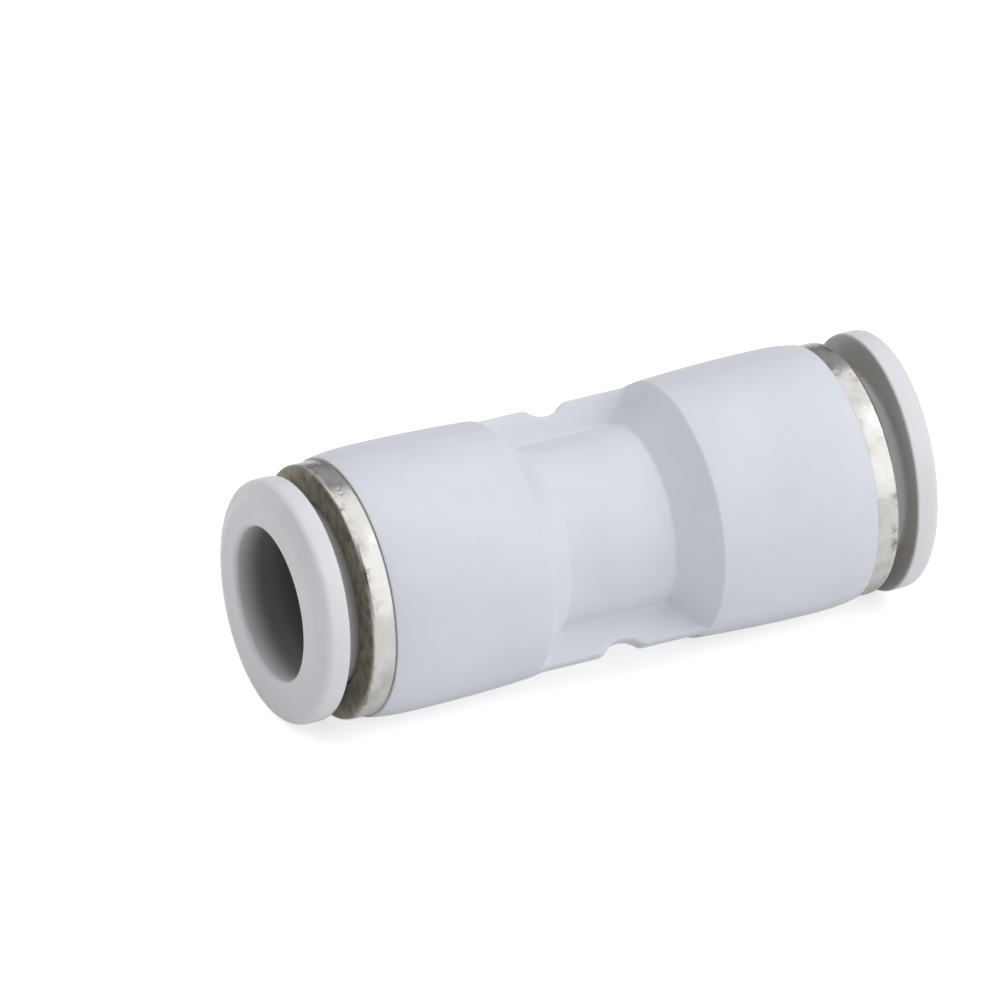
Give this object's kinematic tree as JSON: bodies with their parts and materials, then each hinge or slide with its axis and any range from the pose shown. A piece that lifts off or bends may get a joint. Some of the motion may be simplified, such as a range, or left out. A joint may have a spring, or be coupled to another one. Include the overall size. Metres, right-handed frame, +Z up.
{
  "type": "push fit coupling",
  "caption": "Straight push fit coupling that joins two 10 mm tubes end to end, with a release sleeve, guide ring, claw ring and seal in each socket.",
  "frame": {"origin": "middle of the coupling, on its tube axis", "axes": "+X along the tube axis towards the right socket, +Z up as the coupling lies; the plate of the two webs is tilted 45 degrees about X"},
  "size_m": [0.0458, 0.018, 0.018],
  "materials": {
    "housing_plastic": "fine satin moulded plastic, cool white",
    "sleeve_plastic": "smooth satin moulded plastic, light grey white",
    "nickel_plated_metal": "turned and nickel plated",
    "stainless_steel": "pressed spring sheet",
    "spacer_resin": "moulded resin",
    "seal_rubber": "moulded nitrile rubber"
  },
  "bodies": {
    "coupling_housing": {"housing": "housing_plastic", "guide_ring_left": "nickel_plated_metal", "guide_ring_right": "nickel_plated_metal", "spacer_ring_left": "spacer_resin", "spacer_ring_right": "spacer_resin", "lip_seal_left": "seal_rubber", "lip_seal_right": "seal_rubber"},
    "left_grip": {"claw_ring_left": "stainless_steel"},
    "left_sleeve": {"release_sleeve_left": "sleeve_plastic"},
    "right_grip": {"claw_ring_right": "stainless_steel"},
    "right_sleeve": {"release_sleeve_right": "sleeve_plastic"}
  },
  "joints": [
    {"name": "left_swivel", "type": "hinge", "parent": "coupling_housing", "child": "left_grip", "pos_m": [-0.0148, 0, 0], "axis": [1, 0, 0], "continuous": true},
    {"name": "left_release", "type": "slide", "parent": "left_grip", "child": "left_sleeve", "axis": [1, 0, 0], "range_m": [0, 0.0014], "stiffness_N_per_m": 1500},
    {"name": "right_swivel", "type": "hinge", "parent": "coupling_housing", "child": "right_grip", "pos_m": [0.0148, 0, 0], "axis": [1, 0, 0], "continuous": true},
    {"name": "right_release", "type": "slide", "parent": "right_grip", "child": "right_sleeve", "axis": [-1, 0, 0], "range_m": [0, 0.0014], "stiffness_N_per_m": 1500}
  ]
}
